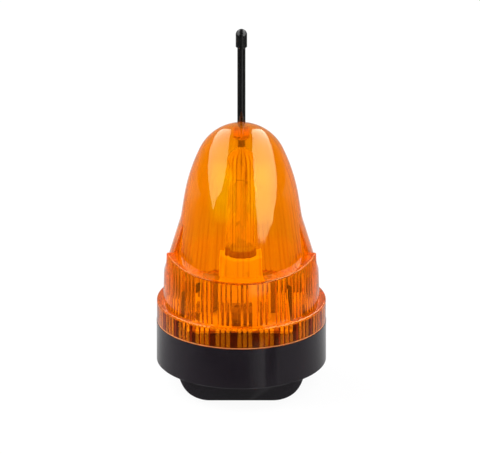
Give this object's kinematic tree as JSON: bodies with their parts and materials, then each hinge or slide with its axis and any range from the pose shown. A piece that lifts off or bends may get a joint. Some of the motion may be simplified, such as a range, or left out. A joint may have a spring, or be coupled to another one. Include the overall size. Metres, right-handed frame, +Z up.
{
  "type": "gate signal light",
  "caption": "Amber flashing gate light: bullet lens with a stepped ribbed collar on a round black base and boat-shaped foot, with a whip antenna behind the dome.",
  "frame": {"origin": "middle of the foot's flat underside", "axes": "+Z up along the lens axis, -Y the front with the stepped collar, +X to the right seen from the front"},
  "size_m": [0.11, 0.11, 0.2373],
  "materials": {
    "black_plastic": "satin black moulding",
    "dark_plastic": "moulded, dark",
    "white_plastic": "moulded, off-white",
    "yellow_plastic": "moulded, yellow",
    "board_laminate": "pale laminate",
    "black_rubber": "moulded rubber",
    "screw_steel": "zinc plated",
    "wire_steel": "drawn wire",
    "tinned_brass": "stamped",
    "cap_aluminium": "rolled thread",
    "clear_glass": "clear",
    "amber_lens": "transparent amber moulding",
    "black_rod": "gloss black coated wire"
  },
  "bodies": {
    "base": {"mounting_foot": "black_plastic", "foot_screws": "screw_steel", "base_housing": "black_plastic", "cable_grommet": "black_rubber", "lens_gasket": "black_rubber", "lens_screws": "screw_steel", "circuit_board": "board_laminate", "board_screws": "screw_steel", "terminal_block": "dark_plastic", "terminal_screws": "screw_steel", "film_capacitor": "yellow_plastic", "smoothing_capacitors": "dark_plastic", "bridge_rectifier": "dark_plastic", "relay": "dark_plastic", "fuse_clips": "tinned_brass", "fuse_tube": "clear_glass", "fuse_caps": "tinned_brass", "lamp_holder": "white_plastic", "holder_screws": "screw_steel", "holder_sleeve": "tinned_brass", "holder_contact": "tinned_brass", "bulb_cap": "cap_aluminium", "bulb_contact": "tinned_brass", "bulb_collar": "dark_plastic", "bulb_glass": "clear_glass", "bulb_stem": "clear_glass", "bulb_supports": "wire_steel", "bulb_filament": "wire_steel", "antenna_lead": "black_rubber", "antenna_cup": "tinned_brass"},
    "lens": {"lens": "amber_lens", "antenna_washer": "black_rubber", "antenna_pin": "tinned_brass", "antenna_stud": "dark_plastic", "antenna_rod": "black_rod", "antenna_tip": "black_rubber"}
  },
  "joints": [
    {"name": "lens_lift", "type": "slide", "parent": "base", "child": "lens", "axis": [0, 0, 1], "range_m": [0, 0.15]}
  ]
}
